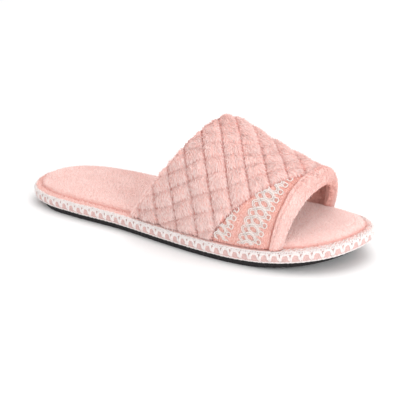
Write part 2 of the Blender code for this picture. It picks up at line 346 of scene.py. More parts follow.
def new_mesh_object(name, points, faces):
    """Object of a new mesh."""
    mesh = bpy.data.meshes.new(name)
    mesh.from_pydata(points, [], faces)
    return new_object(name, mesh)


def add_piece(name, points, faces, attributes=None):
    """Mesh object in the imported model's frame, with point attributes of one or three numbers."""
    obj = new_mesh_object(name, to_world(points).tolist(), faces)
    mesh = obj.data
    for key, values in (attributes or {}).items():
        values = np.asarray(values, dtype=np.float32)
        kind, field = ("FLOAT_VECTOR", "vector") if values.ndim == 2 else ("FLOAT", "value")
        mesh.attributes.new(key, kind, "POINT").data.foreach_set(field, values.ravel())
    work = bmesh.new()
    work.from_mesh(mesh)
    bmesh.ops.recalc_face_normals(work, faces=work.faces)
    work.to_mesh(mesh)
    work.free()
    mesh.shade_smooth()
    return obj


def loop_faces(levels, count, closed=False):
    """Quads between loops of count points that follow each other, and back to the first if closed."""
    faces = []
    for number in range(levels if closed else levels - 1):
        low, high = number * count, (number + 1) % levels * count
        faces += [(low + k, low + (k + 1) % count, high + (k + 1) % count, high + k) for k in range(count)]
    return faces


def ladder(points, first, count, strips, rise):
    """Faces across a closed loop from side to side, over points that rise() lifts in between."""
    half = count // 2
    rows = []
    for k in range(1, half):
        outer, inner = first + k, first + count - k
        row = [outer]
        start, end = np.array(points[outer]), np.array(points[inner])
        for share in np.arange(1, strips) / strips:
            middle = start + (end - start) * share
            middle[2] += rise(middle, share)
            points.append(middle)
            row.append(len(points) - 1)
        rows.append(row + [inner])
    faces = [(first, a, b) for a, b in zip(rows[0], rows[0][1:])]
    for low, high in zip(rows, rows[1:]):
        faces += [(low[k], low[k + 1], high[k + 1], high[k]) for k in range(strips)]
    faces += [(first + half, a, b) for a, b in zip(rows[-1], rows[-1][1:])]
    return faces


def arched_wall(name, outer, inner, attributes=None):
    """Solid wall between two grids of points over the same columns; the inner grid may have fewer rows."""
    columns, many = outer.shape[:2]
    few = inner.shape[1]
    cuts = np.round(np.linspace(0, many - 1, few)).astype(int)
    loop = many + few
    points = np.concatenate([outer, inner[:, ::-1]], axis=1).reshape(-1, 3)
    faces = loop_faces(columns, loop)
    for start in (0, (columns - 1) * loop):
        for row in range(few - 1):
            far = [start + int(k) for k in range(cuts[row], cuts[row + 1] + 1)]
            back = start + many + few - 1 - row
            faces.append((*far, back - 1, back))
    spread = {}
    for key, (outer_values, inner_values) in (attributes or {}).items():
        joined = np.concatenate([outer_values, inner_values[:, ::-1]], axis=1)
        spread[key] = joined.reshape(columns * loop, *joined.shape[2:])
    return add_piece(name, points, faces, spread)


# Shading and Geometry Nodes

NAP_TURN = math.radians(-42)
PLY_LENGTH = 0.0022
TUFT_VALUES = ("Density", "Height", "Width", "Lean", "Spread")
TUFT_LENGTHS = (0.6, 1.2)
GROOVE_SHORTENING = 0.6


class Amount:
    """What a node puts out; Python's own signs work on it."""

    def __init__(self, tree, socket):
        self.tree = tree
        self.socket = socket

    def __add__(self, other):
        return self.tree.math("ADD", self, other)

    __radd__ = __add__

    def __sub__(self, other):
        return self.tree.math("SUBTRACT", self, other)

    def __rsub__(self, other):
        return self.tree.math("SUBTRACT", other, self)

    def __mul__(self, other):
        return self.tree.math("MULTIPLY", self, other)

    __rmul__ = __mul__


class Tree:
    """A tree of nodes."""

    def __init__(self, tree):
        self.tree = tree

    def node(self, kind, settings=None, sockets=None):
        """Any node: its settings come first, then the values or links of its sockets."""
        made = self.tree.nodes.new(kind)
        for key, value in (settings or {}).items():
            setattr(made, key, value)
        for key, value in (sockets or {}).items():
            self.feed(made.inputs[key], value)
        return made

    def result(self, kind, settings=None, sockets=None, output=0):
        """One output of a new node."""
        return Amount(self, self.node(kind, settings, sockets).outputs[output])

    def feed(self, socket, value):
        """Link an amount to a socket, or set the socket's value."""
        if isinstance(value, Amount):
            self.tree.links.new(value.socket, socket)
        else:
            socket.default_value = value

    def math(self, operation, *values):
        """Math node on amounts or numbers."""
        return self.result("ShaderNodeMath", {"operation": operation}, dict(enumerate(values)))

    def axis(self, vector, number):
        """One number of a vector."""
        return self.result("ShaderNodeSeparateXYZ", {}, {0: vector}, number)


class Finish(Tree):
    """A material and its nodes."""

    def __init__(self, name, roughness, sheen=0.0, shine=0.5):
        self.material = bpy.data.materials.new(name)
        self.material.use_nodes = True
        super().__init__(self.material.node_tree)
        self.shader = self.tree.nodes["Principled BSDF"]
        fixed = {"Roughness": roughness, "Sheen Weight": sheen, "Sheen Roughness": 0.5,
                 "Specular IOR Level": shine}
        for key, value in fixed.items():
            self.shader.inputs[key].default_value = value

    def mix(self, share, first, second):
        """Colour between two others."""
        sockets = {0: share, 6: rgba(first), 7: rgba(second)}
        return self.result("ShaderNodeMix", {"data_type": "RGBA"}, sockets, 2)

    def over(self, ground, name, colour):
        """Ground with a colour over it where an attribute is up."""
        return self.mix(self.attribute(name), ground, colour)

    def place(self):
        """Object coordinates."""
        return self.result("ShaderNodeTexCoord", output="Object")

    def attribute(self, name, output="Fac"):
        """Attribute of the mesh."""
        return self.result("ShaderNodeAttribute", {"attribute_name": name}, output=output)

    def grain(self, vector, size, turn=0.0, detail=2.0):
        """Noise from 0 to 1 whose lumps have a size along each axis of the vector, turned about its Z."""
        scale = size if isinstance(size, tuple) else (size, size, size)
        mapped = self.result("ShaderNodeMapping", {"vector_type": "TEXTURE"}, {
            "Vector": vector, "Rotation": (0.0, 0.0, turn), "Scale": scale})
        sockets = {"Vector": mapped, "Scale": 1.0, "Detail": detail, "Roughness": 0.5}
        return self.result("ShaderNodeTexNoise", {}, sockets, "Fac")

    def step(self, amount, low, high):
        """Amount stretched so that low becomes 0 and high 1, and clamped."""
        return self.result("ShaderNodeMapRange", {"clamp": True}, {0: amount, 1: low, 2: high})

    def bump(self, height, distance):
        """Relief of that depth on the shader's normal."""
        sockets = {"Height": height, "Distance": distance, "Strength": 1.0}
        self.feed(self.shader.inputs["Normal"], self.result("ShaderNodeBump", {}, sockets))

    def colour(self, value):
        """Base colour of the shader."""
        self.feed(self.shader.inputs["Base Color"], value)


def rgba(value):
    """A colour of three numbers with its alpha; an amount stays as it is."""
    return value if isinstance(value, Amount) else (*value[:3], 1.0)


def shade(colour, factor):
    """Colour times a factor."""
    return tuple(channel * factor for channel in colour[:3])


def plush_finish(name, settings, streak, depth):
    """Brushed plush: streaks along the nap, lumps of pile and a salmon ground; depth darkens the ground
    towards the plush shade colour, painted shade between the tufts.
    """
    finish = Finish(name, roughness=0.92, sheen=0.25, shine=0.3)
    skin = finish.attribute("skin", "Vector")
    streaks = finish.grain(skin, (streak, 0.0009, 0.0009), NAP_TURN)
    lumps = finish.grain(skin, (0.0024, 0.0018, 0.0018), 0.4, 3.0)
    patches = finish.grain(skin, (0.020, 0.012, 0.012))
    tone = finish.step(streaks * 0.55 + lumps * 0.45, 0.36, 0.64) * (1 - depth)
    soft = finish.mix(tone, settings.plush_shade, settings.plush_colour)
    worn = finish.mix(finish.step(patches, 0.35, 0.75) * 0.25, soft, settings.plush_light)
    lined = finish.over(worn, "lining", settings.lining_colour)
    # Painted shade over seams and grooves, from the groove mask
    finish.colour(finish.over(lined, "groove_shade", settings.groove_shade_colour))
    finish.bump(streaks * 0.6 + lumps * 0.4, 0.0009)
    return finish.material


def nap_finish(name, settings, depth):
    """The pile's own tufts: the plush colour in varied tones, paler at the tips as painted light; depth
    darkens them.
    """
    finish = Finish(name, roughness=0.9, sheen=0.2, shine=0.3)
    tufts = finish.grain(finish.place(), 0.004)
    tone = finish.step(tufts, 0.35, 0.65) * 0.3 + finish.attribute("tint") * 0.7
    root = finish.mix(tone, settings.plush_shade, settings.plush_colour)
    strand = finish.mix(finish.attribute("tip") * (1 - depth), root, settings.plush_light)
    lined = finish.over(strand, "lining", settings.lining_colour)
    # Painted shade over seams and grooves, from the groove mask
    finish.colour(finish.over(lined, "groove_shade", settings.groove_shade_colour))
    return finish.material


def fabric_finish(name, settings):
    """Flat-pile fabric with fine ribs along the girth."""
    finish = Finish(name, roughness=0.9, sheen=0.2, shine=0.3)
    skin = finish.attribute("skin", "Vector")
    ribs = finish.grain(skin, (0.0007, 0.0060, 0.0010))
    fleck = finish.grain(skin, 0.0012, 0.0, 3.0)
    tone = finish.step(ribs * 0.6 + fleck * 0.4, 0.38, 0.62)
    ground = finish.mix(tone, settings.fabric_shade, settings.fabric_colour)
    # Painted shade over the seam troughs, from the groove mask
    finish.colour(finish.over(ground, "groove_shade", settings.groove_shade_colour))
    finish.bump(ribs * 0.7 + fleck * 0.3, 0.0006)
    return finish.material


def yarn_finish(name, colour, depth):
    """Two-ply yarn: diagonal plies, painted shade between them, and loose hairs as a fine grain."""
    finish = Finish(name, roughness=0.85, sheen=0.3, shine=0.3)
    around = finish.attribute("around", "Vector")
    phase = finish.attribute("run") * (2 * math.pi / PLY_LENGTH)
    plies = (finish.math("SINE", phase) * finish.axis(around, 0)
             + finish.math("COSINE", phase) * finish.axis(around, 1))
    hairs = finish.grain(finish.place(), 0.0005, 0.0, 3.0)
    height = finish.step(plies, -1.0, 1.0) * 0.7 + hairs * 0.3
    # Painted shade between the plies: the yarn colour times depth
    finish.colour(finish.mix(finish.step(height, 0.15, 0.6), shade(colour, depth), colour))
    finish.bump(height, 0.00035)
    return finish.material


def core_finish(name, settings, cloth):
    """Cloth that shows between the stitches, and plush over the top of the edge."""
    finish = Finish(name, roughness=0.95, sheen=0.2, shine=0.3)
    weave = finish.grain(finish.place(), 0.0009, 0.0, 3.0)
    tone = finish.step(weave, 0.35, 0.65)
    side = finish.mix(tone, shade(settings.core_colour, 0.80), settings.core_colour)
    finish.colour(finish.over(side, "top", finish.mix(tone, cloth.plush_shade, cloth.plush_colour)))
    finish.bump(weave, 0.0006)
    return finish.material


def rubber_finish(name, colour, tread):
    """Foamed rubber: fine grain, a scuffed tone and a small diamond tread."""
    finish = Finish(name, roughness=0.7, shine=0.35)
    place = finish.place()
    grain = finish.grain(place, 0.0008, 0.0, 3.0)
    wear = finish.grain(place, (0.030, 0.020, 0.010), 0.3, 3.0)
    along, across = finish.axis(place, 0), finish.axis(place, 1)
    pitch = 2 * math.pi / tread
    ribs = finish.math("SINE", (along + across) * pitch) * finish.math("SINE", (along - across) * pitch)
    tone = finish.step(grain * 0.5 + wear * 0.5, 0.35, 0.7)
    finish.colour(finish.mix(tone, shade(colour, 0.8), shade(colour, 1.7)))
    finish.feed(finish.shader.inputs["Roughness"], finish.step(wear, 0.2, 0.9) * 0.25 + 0.6)
    finish.bump(grain * 0.35 + finish.step(ribs, -0.25, 0.25) * 0.65, 0.0007)
    return finish.material


class Steps(Tree):
    """A Geometry Nodes tree with named inputs."""

    def __init__(self, name, inputs):
        super().__init__(bpy.data.node_groups.new(name, "GeometryNodeTree"))
        for way in ("INPUT", "OUTPUT"):
            self.tree.interface.new_socket("Geometry", in_out=way, socket_type="NodeSocketGeometry")
        self.ids = {}
        for key, kind in inputs.items():
            made = self.tree.interface.new_socket(key, in_out="INPUT", socket_type=kind)
            self.ids[key] = made.identifier
        self.start = self.node("NodeGroupInput")

    def given(self, name):
        """What a named input gives."""
        return Amount(self, self.start.outputs[name])

    def attribute(self, name, kind="FLOAT"):
        """Named attribute of the geometry."""
        return self.result("GeometryNodeInputNamedAttribute", {"data_type": kind}, {"Name": name},
                           "Attribute")

    def store(self, geometry, name, value, kind="FLOAT", domain="POINT"):
        """Geometry with one more named attribute."""
        return self.result("GeometryNodeStoreNamedAttribute", {"data_type": kind, "domain": domain},
                           {"Geometry": geometry, "Name": name, "Value": value})

    def random(self, low, high):
        """Random number or vector between two others; vectors have the node's first sockets."""
        kind, first = ("FLOAT_VECTOR", 0) if isinstance(low, tuple) else ("FLOAT", 2)
        sockets = {first: low, first + 1: high, "Seed": self.given("Seed")}
        return self.result("FunctionNodeRandomValue", {"data_type": kind}, sockets, first // 2)

    def vector(self, operation, first, key, second):
        """Vector Math node, its second value at the socket of that key."""
        return self.result("ShaderNodeVectorMath", {"operation": operation}, {0: first, key: second})

    def finish(self, geometry):
        """Realize, give the material and end the tree."""
        real = self.result("GeometryNodeRealizeInstances", {}, {0: geometry})
        painted = self.result("GeometryNodeSetMaterial", {},
                              {"Geometry": real, "Material": self.given("Material")})
        self.node("NodeGroupOutput", {}, {0: painted})

    def make(self, obj, name, values):
        """Run the tree on an object and keep the result as a plain mesh object of its own."""
        modifier = obj.modifiers.new(name, "NODES")
        modifier.node_group = self.tree
        for key, value in values.items():
            modifier[self.ids[key]] = value
        seen = obj.evaluated_get(bpy.context.evaluated_depsgraph_get())
        mesh = bpy.data.meshes.new_from_object(seen)
        obj.modifiers.remove(modifier)
        mesh.name = name
        return new_object(name, mesh)


def yarn_steps():
    """Tree that sweeps a round yarn along curves, and notes where a point lies along and around it."""
    steps = Steps("Yarn along its path", {
        "Radius": "NodeSocketFloat", "Sides": "NodeSocketInt", "Material": "NodeSocketMaterial"})
    run = steps.result("GeometryNodeSplineParameter", output="Length")
    path = steps.store(steps.given("Geometry"), "run", run)
    ring = steps.result("GeometryNodeCurvePrimitiveCircle", {"mode": "RADIUS"}, {
        "Resolution": steps.given("Sides"), "Radius": steps.given("Radius")})
    angle = steps.result("GeometryNodeSplineParameter", output="Factor") * (4 * math.pi)
    around = steps.result("ShaderNodeCombineXYZ", {}, {
        0: steps.math("COSINE", angle), 1: steps.math("SINE", angle)})
    profile = steps.store(ring, "around", around, "FLOAT_VECTOR")
    swept = steps.result("GeometryNodeCurveToMesh", {}, {
        "Curve": path, "Profile Curve": profile, "Fill Caps": True})
    steps.finish(steps.result("GeometryNodeSetShadeSmooth", {}, {"Geometry": swept}))
    return steps


def nap_steps():
    """Tree that sets short tufts over the part of a surface where its attribute "nap" is up."""
    steps = Steps("Short nap", {**dict.fromkeys(TUFT_VALUES, "NodeSocketFloat"),
                                "Seed": "NodeSocketInt", "Material": "NodeSocketMaterial"})
    points = steps.node("GeometryNodeDistributePointsOnFaces", {"distribute_method": "RANDOM"}, {
        "Mesh": steps.given("Geometry"), "Density": steps.given("Density") * steps.attribute("nap"),
        "Seed": steps.given("Seed")})
    roots, up = (Amount(steps, points.outputs[key]) for key in ("Points", "Normal"))
    anywhere = steps.random((-1.0, -1.0, -1.0), (1.0, 1.0, 1.0))
    wild = steps.vector("SCALE", anywhere, "Scale", steps.given("Spread"))
    laid = steps.vector("SCALE", steps.attribute("comb", "FLOAT_VECTOR"), "Scale", steps.given("Lean"))
    aim = steps.vector("ADD", steps.vector("ADD", up, 1, laid), 1, wild)
    turn = steps.result("FunctionNodeAlignRotationToVector", {"axis": "Z"}, {"Vector": aim})
    blade = steps.result("GeometryNodeMeshCone", {"fill_type": "NGON"}, {
        "Vertices": 3, "Side Segments": 1, "Radius Top": 0.0, "Radius Bottom": 0.5, "Depth": 1.0}, "Mesh")
    marked = steps.store(blade, "tip", steps.axis(steps.result("GeometryNodeInputPosition"), 2))
    short = steps.attribute("groove_shade") * -GROOVE_SHORTENING + 1.0
    width, height = steps.given("Width"), short * steps.random(*TUFT_LENGTHS) * steps.given("Height")
    size = steps.result("ShaderNodeCombineXYZ", {}, {0: width, 1: width, 2: height})
    placed = steps.result("GeometryNodeInstanceOnPoints", {}, {
        "Points": roots, "Instance": marked, "Rotation": turn, "Scale": size})
    steps.finish(steps.store(placed, "tint", steps.random(0.0, 1.0), domain="INSTANCE"))
    return steps


def yarn_piece(name, strands, radius, sides, material):
    """Yarn swept along strands, each a list of points in the last frame and whether it is closed."""
    data = bpy.data.curves.new(name + "_path", "CURVE")
    data.dimensions = "3D"
    for points, closed in strands:
        spline = data.splines.new("POLY")
        spline.points.add(len(points) - 1)
        flat = np.column_stack([to_world(points), np.ones(len(points))])
        spline.points.foreach_set("co", flat.ravel())
        spline.use_cyclic_u = closed
    path = new_object(name + "_path", data)
    piece = yarn_steps().make(path, name, {"Radius": radius, "Sides": sides, "Material": material})
    bpy.data.objects.remove(path, do_unlink=True)
    return piece


def add_nap(obj, name, values, material, seed):
    """Short tufts over a finished piece: density per square metre, height, width, lean and spread."""
    given = {**dict(zip(TUFT_VALUES, values)), "Seed": seed, "Material": material}
    return own(nap_steps().make(obj, name, given), obj["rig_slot"])


def own(obj, slot):
    """The piece rides on the slipper's one body and takes its finish from a slot of the record."""
    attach(obj, "root")
    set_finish(obj, slot)
    return obj


def give(obj, material):
    """The piece's one material."""
    obj.data.materials.clear()
    obj.data.materials.append(material)


# Settings

def colour_setting(name, description, default):
    """Setting of a colour."""
    return FloatVectorProperty(name=name, description=description, default=default, subtype="COLOR",
                               size=3, min=0, max=1)


def length_setting(name, description, default):
    """Setting of a length in metres."""
    return FloatProperty(name=name, description=description, default=default, unit="LENGTH")


def angle_setting(name, description, degrees):
    """Setting of an angle."""
    return FloatProperty(name=name, description=description, default=math.radians(degrees), subtype="ANGLE")


class ClothSettings(bpy.types.PropertyGroup):
    """Colours and pile of the plush and the flat fabric."""

    plush_colour: colour_setting("Plush", "Colour of the pile", (0.95, 0.720, 0.680))
    plush_light: colour_setting("Plush tips", "Colour of the pile's tips", (0.97, 0.845, 0.820))
    plush_shade: colour_setting("Plush depth", "Colour deeper in the pile", (0.86, 0.530, 0.475))
    # Painted shade laid into seams, grooves and the footbed's rim where the groove mask is up
    groove_shade_colour: colour_setting("Groove", "Colour in seams and grooves", (0.80, 0.310, 0.250))
    fabric_colour: colour_setting("Side fabric", "Colour of the wedge's fabric", (0.84, 0.500, 0.430))
    fabric_shade: colour_setting("Side fabric depth", "Colour between its ribs", (0.74, 0.350, 0.285))
    lining_colour: colour_setting("Lining", "Colour of the plush inside the vamp", (0.97, 0.600, 0.530))
    tuft_height: length_setting("Pile height", "Length of a tuft of the vamp", 0.0027)
    tuft_width: length_setting("Tuft width", "Width of a tuft at its root", 0.00072)
    tuft_density: FloatProperty(
        name="Pile density", description="Tufts on a square metre of the vamp", default=2.0e6)


class QuiltSettings(bpy.types.PropertyGroup):
    """Depths of the quilting and the padding under its cover."""

    steep_depth: length_setting("Steep grooves", "Depth of the grooves that run down the foot", 0.0014)
    shallow_depth: length_setting("Cross grooves", "Depth of the grooves across them", 0.00055)
    puff: length_setting("Puff", "Rise of a cell's middle over the solid's face", 0.0004)
    pressure: FloatProperty(name="Pressure", description="Push of the padding on the cover", default=80.0)
    stiffness: FloatProperty(name="Stiffness", description="Stiffness of the cover's cloth", default=8.0)


class EdgeSettings(bpy.types.PropertyGroup):
    """The stitched edge."""

    units: IntProperty(name="Stitch units", description="Repeats of the stitch round the sole", default=91)
    yarn_radius: length_setting("Yarn radius", "Half the yarn's thickness", 0.00036)
    yarn_colour: colour_setting("Yarn", "Colour of the yarn", (0.97, 0.895, 0.875))
    core_colour: colour_setting("Core", "Colour of the cloth between the stitches", (0.80, 0.530, 0.500))


class LaceSettings(bpy.types.PropertyGroup):
    """The lace trims."""

    pitch: length_setting("Repeat", "Length of one repeat", 0.0062)
    yarn_radius: length_setting("Yarn radius", "Half the cord's thickness", 0.00036)
    yarn_colour: colour_setting("Cord", "Colour of the cord", (0.95, 0.86, 0.82))


class SoleSettings(bpy.types.PropertyGroup):
    """The rubber sole."""

    colour: colour_setting("Rubber", "Colour of the sole", (0.011, 0.009, 0.010))
    tread: length_setting("Tread", "Pitch of the diamond tread", 0.006)


class StageSettings(bpy.types.PropertyGroup):
    """Camera, light and floor."""

    azimuth: angle_setting("Azimuth", "Turn of the camera round the slipper", 32.36)
    elevation: angle_setting("Elevation", "Height of the camera over the horizon", 21.35)
    roll: angle_setting("Roll", "Tilt of the picture", -0.95)
    distance: length_setting("Distance", "Distance from the point aimed at", 0.772)
    lens: FloatProperty(name="Lens", description="Focal length, mm", default=102.8)
    sky: FloatProperty(name="Sky", description="Strength of the light all round", default=0.90)
    floor_colour: colour_setting("Floor", "Colour of the floor", (0.93, 0.93, 0.93))


class SlipperSettings(bpy.types.PropertyGroup):
    """All sizes and colours of the slipper."""

    cloth: PointerProperty(type=ClothSettings)
    quilt: PointerProperty(type=QuiltSettings)
    edge: PointerProperty(type=EdgeSettings)
    lace: PointerProperty(type=LaceSettings)
    sole: PointerProperty(type=SoleSettings)
    stage: PointerProperty(type=StageSettings)


# Stage

FLOOR_HALF = 3.0
IMAGE_SIZE = 400
SENSOR = 36.0
AIM = (0.129, 0.0, 0.020)
AIM_PIXEL = (193.8, 195.8)
# Place, size and power
LAMPS = {"overhead": ((0.16, 0.30, 1.25), 0.9, 5.2), "toe": ((1.10, -0.50, 0.40), 0.6, 6.0)}


class SLIPPER_OT_stage(bpy.types.Operator):
    """Make the floor, the light and the camera"""

    bl_idname = "slipper.stage"
    bl_label = "Stage"

    def execute(self, context):
        settings = context.scene.slipper.stage
        corners = [(-FLOOR_HALF, -FLOOR_HALF, 0), (FLOOR_HALF, -FLOOR_HALF, 0),
                   (FLOOR_HALF, FLOOR_HALF, 0), (-FLOOR_HALF, FLOOR_HALF, 0)]
        floor = new_mesh_object("floor", corners, [(0, 1, 2, 3)])
        finish = Finish("floor", roughness=0.8)
        speckle = finish.grain(finish.place(), 0.002) * 0.02
        finish.colour(finish.mix(speckle, settings.floor_colour, (1.0, 1.0, 1.0)))
        give(floor, finish.material)
        self.light(context, settings)
        self.camera(context, settings)
        return {"FINISHED"}

    def light(self, context, settings):
        """White sky, a broad light overhead, and a low one from the toe."""
        world = bpy.data.worlds.new("studio")
        world.use_nodes = True
        sky = world.node_tree.nodes["Background"]
        sky.inputs["Color"].default_value = (1.0, 1.0, 1.0, 1.0)
        sky.inputs["Strength"].default_value = settings.sky
        context.scene.world = world
        for name, (place, size, power) in LAMPS.items():
            data = bpy.data.lights.new(name, "AREA")
            data.size = size
            data.energy = power
            lamp = new_object(name, data)
            lamp.location = place
            lamp.rotation_euler = (-Vector(place)).to_track_quat("-Z", "Y").to_euler()
        context.scene.view_settings.view_transform = "Standard"

    def camera(self, context, settings):
        """Camera that shows the point aimed at in its place of the picture."""
        azimuth, elevation = settings.azimuth, settings.elevation
        right = Vector((math.cos(azimuth), math.sin(azimuth), 0.0))
        back = Vector((math.sin(azimuth) * math.cos(elevation), -math.cos(azimuth) * math.cos(elevation),
                       math.sin(elevation)))
        axes = Matrix.Rotation(-settings.roll, 3, "Z") @ Matrix((right, back.cross(right), back))
        turned = axes.transposed()
        focal = settings.lens / SENSOR * IMAGE_SIZE
        across = (AIM_PIXEL[0] - IMAGE_SIZE / 2) / focal
        up = (IMAGE_SIZE / 2 - AIM_PIXEL[1]) / focal
        seen = Vector((across, up, -1.0)) * settings.distance
        aim = Vector(to_world(AIM))
        data = bpy.data.cameras.new("camera")
        data.lens = settings.lens
        data.sensor_width = SENSOR
        data.clip_start = 0.01
        data.clip_end = 20.0
        camera = new_object("camera", data)
        camera.matrix_world = Matrix.Translation(aim - turned @ seen) @ turned.to_4x4()
        context.scene.camera = camera


# Sole and footbed

SOLE_STATIONS = 160
# Columns: inset from the outline and height, in mm
SOLE_SECTION = ((3.6, 0.0), (2.9, 0.15), (2.3, 0.6), (1.9, 1.3), (1.7, 2.2), (1.5, 3.2), (1.4, 4.0))
SOLE_STRIPS = 12
FOOTBED_STRIPS = 40
FOOTBED_ROOT = 0.0030
SHOULDER_ROWS = 15
FOOTBED_SEAM = 0.0009
FOOTBED_RIM = 0.0002
CROWN_LUMPS = ((0.022, 0.0005), (0.007, 0.0002))


def sole_loops(profile):
    """Closed loops of the sole at insets and heights, with toe spring and heel lift."""
    ring, normals = outline_ring(SOLE_STATIONS)
    loops = []
    for inset, height in profile:
        flat = ring - normals * np.broadcast_to(inset, len(ring))[:, None]
        loops.append(np.column_stack([flat, height + lift(flat[:, 0])]))
    return loops


def level(place, share):
    """No rise."""
    return 0.0


def crowned(place, share):
    """Low crown of the footbed with soft lumps, at a share of the way from side to side."""
    lumps = sum(height * noise.noise(Vector(place) / width) for width, height in CROWN_LUMPS)
    return (CROWN + lumps) * math.sin(math.pi * share) ** 0.5


def stacked_sole(loops, strips, rise):
    """Solid through closed loops, closed below and above by faces from side to side."""
    count = len(loops[0])
    points = list(np.vstack(loops))
    faces = loop_faces(len(loops), count)
    faces += ladder(points, 0, count, strips, level)
    faces += ladder(points, (len(loops) - 1) * count, count, strips, rise)
    return np.array(points), faces


class SLIPPER_OT_sole(bpy.types.Operator):
    """Make the rubber sole"""

    bl_idname = "slipper.sole"
    bl_label = "Rubber sole"

    def execute(self, context):
        settings = context.scene.slipper.sole
        x = outline_ring(SOLE_STATIONS)[0][:, 0]
        ends = (OUTSOLE_HEEL_INSET * near(x, OUTSOLE_HEEL_REACH)
                + OUTSOLE_TOE_INSET * near(LENGTH - x, OUTSOLE_TOE_REACH))
        loops = sole_loops([(inset * MM + ends, height * MM) for inset, height in SOLE_SECTION])
        piece = add_piece("rubber_sole", *stacked_sole(loops, SOLE_STRIPS, level))
        give(piece, rubber_finish("rubber", settings.colour, settings.tread))
        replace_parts(own(piece, "outsole"), "outsole")
        return {"FINISHED"}


class SLIPPER_OT_footbed(bpy.types.Operator):
    """Make the plush footbed with its short pile"""

    bl_idname = "slipper.footbed"
    bl_label = "Plush footbed"

    def execute(self, context):
        cloth = context.scene.slipper.cloth
        profile = [(INSOLE_INSET, BAND_BOTTOM), (INSOLE_INSET, BAND_TOP - FOOTBED_ROOT)]
        for inset in INSOLE_INSET + SHOULDER_WIDTH * np.linspace(0, 1, SHOULDER_ROWS) ** 1.5:
            dip = FOOTBED_SEAM * near(inset - INSOLE_INSET, FOOTBED_SEAM)
            profile.append((inset + FOOTBED_RIM, BAND_TOP + shoulder_height(inset) - dip))
        points, faces = stacked_sole(sole_loops(profile), FOOTBED_STRIPS, crowned)
        above = points[:, 2] - BAND_TOP - lift(points[:, 0])
        # Painted shade along the valley at the footbed's rim, and over its side below the band's top
        rim = near(above + FOOTBED_RIM, 0.0010) + 0.5 * near(above, 0.0026) + (above < 0)
        nap = np.clip((above - 0.0004) / 0.0010, 0, 1)
        wander = 0.8 + 0.6 * smooth_noise(points, 0.016, 8.0)
        comb = np.column_stack([np.cos(wander), np.sin(wander), np.zeros(len(points))])
        piece = add_piece("plush_footbed", points, faces, {
            "groove_shade": 0.6 * np.clip(rim, 0, 1), "nap": nap, "comb": comb, "skin": points})
        give(piece, plush_finish("footbed_plush", cloth, streak=0.0022, depth=-0.2))
        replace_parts(own(piece, "insole"), "insole")
        add_nap(piece, "footbed_pile", (cloth.tuft_density, 0.0013, 0.00050, 1.0, 0.7),
                nap_finish("footbed_nap", cloth, depth=-0.1), seed=3)
        return {"FINISHED"}


# Vamp, wedge and roll

VAMP_COLUMNS = 281
VAMP_ROWS = 121
HEM_ROWS = 8
HEM_REACH = 0.0022
LINING_ROWS = 35
LINING_HEM_ROWS = 6
RIDGE_REACH = 0.020
PILE_SUNK = 0.0014
STITCH_WANDER = 0.0003
STITCH_LUMP = 0.0024
CELL_SIDE = 0.0026
CELL_END = 0.0020
GROOVE_REACH = 0.0008
GROOVE_SLOPE = 0.0020
# Width of the painted shade along a stitch line
GROOVE_SHADE_REACH = 0.0007
HELD_REACH = 0.0009
# Columns: width and height of a lump
COVER_LUMPS = ((0.0022, 0.00018), (0.007, 0.00025))
WEDGE_LUMPS = ((0.006, 0.0002),)
ROLL_LUMPS = ((0.009, 0.0003), (0.0025, 0.00015))
# Columns: depth and width of a seam's trough
FRONT_SEAM = (0.0012, 0.0011)
FOOT_SEAM = (0.0010, 0.0012)
NAP_RISE = 0.0015
LINING_NAP = 0.25
COVER_SCALE = 20.0
COVER_FRAMES = 20
COVER_CAP = 0.0014
COVER_CLOTH = {"quality": 5, "mass": 0.05, "bending_stiffness": 0.3, "use_pressure": True}
WEDGE_ROWS = (49, 13)
WEDGE_TIP = 0.0012
WEDGE_FADE = 0.004
WEDGE_SEAM = 0.0009
# Widths of its troughs at the rear, the front and the foot
WEDGE_TROUGHS = (0.0012, 0.0010, 0.0014)
ROLL_LINE = 0.0026
ROLL_FACE_ROWS = 12
ROLL_ROUND_ROWS = 29
ROLL_BACK_END = 0.0016
# Columns: height and width
ROLL_PUFF = (0.0005, 0.0035)
ROLL_FOOT = (0.0007, 0.0012)
ROLL_SEAM = (0.0005, 0.0009)
ROLL_STITCHES = (0.0003, 0.0006)


def distance_to_line(number, points):
    """Distance over the surface from each point of a grid to the nearest stitch line."""
    across, along = np.gradient(points, axis=0), np.gradient(points, axis=1)
    by_across, by_along = np.gradient(number, axis=0), np.gradient(number, axis=1)
    wide, skew, long = ((a * b).sum(-1) for a, b in ((across, across), (across, along), (along, along)))
    slope = np.sqrt((long * by_across ** 2 - 2 * skew * by_across * by_along + wide * by_along ** 2)
                    / (wide * long - skew ** 2))
    return np.abs(number - np.round(number)) / slope


def quilting(x, side, settings):
    """Offset below the solid's face, painted shade in the grooves and hold of the stitches, over a grid."""
    turn = girth(x, side)
    points = vamp_point(x, side, 0.0)
    cross_number = line_number(SHALLOW_LINES, x, turn)
    steep = distance_to_line(line_number(STEEP_LINES, x, turn), points)
    shallow = distance_to_line(cross_number, points)
    steep = np.abs(steep + STITCH_WANDER * smooth_noise(points, STITCH_LUMP, 3.0))
    ridge = 0.6 + 0.4 * np.minimum(np.abs(turn) / RIDGE_REACH, 1)
    offset = -settings.puff * (1 - near(steep, CELL_SIDE)) * (1 - near(shallow, CELL_END))
    for distance, depth in ((steep, settings.steep_depth), (shallow, settings.shallow_depth)):
        trough = 0.6 * near(distance, GROOVE_REACH) + 0.4 * near(distance, GROOVE_SLOPE)
        offset = offset + ridge * depth * trough
    # Painted shade in the grooves: strong along the steep lines and deepest at each stitch, faint along the
    # cross lines
    stitches = 0.7 + 0.3 * np.cos(2 * np.pi * 3 * cross_number)
    groove_shade = (0.90 * near(steep, GROOVE_SHADE_REACH) * stitches
              + 0.24 * near(shallow, GROOVE_SHADE_REACH) * (1 - 0.5 * near(steep, GROOVE_REACH)))
    held = near(steep, HELD_REACH) + near(shallow, HELD_REACH)
    return np.minimum(offset, VAMP_WALL * 0.6), groove_shade, np.clip(held, 0, 1)


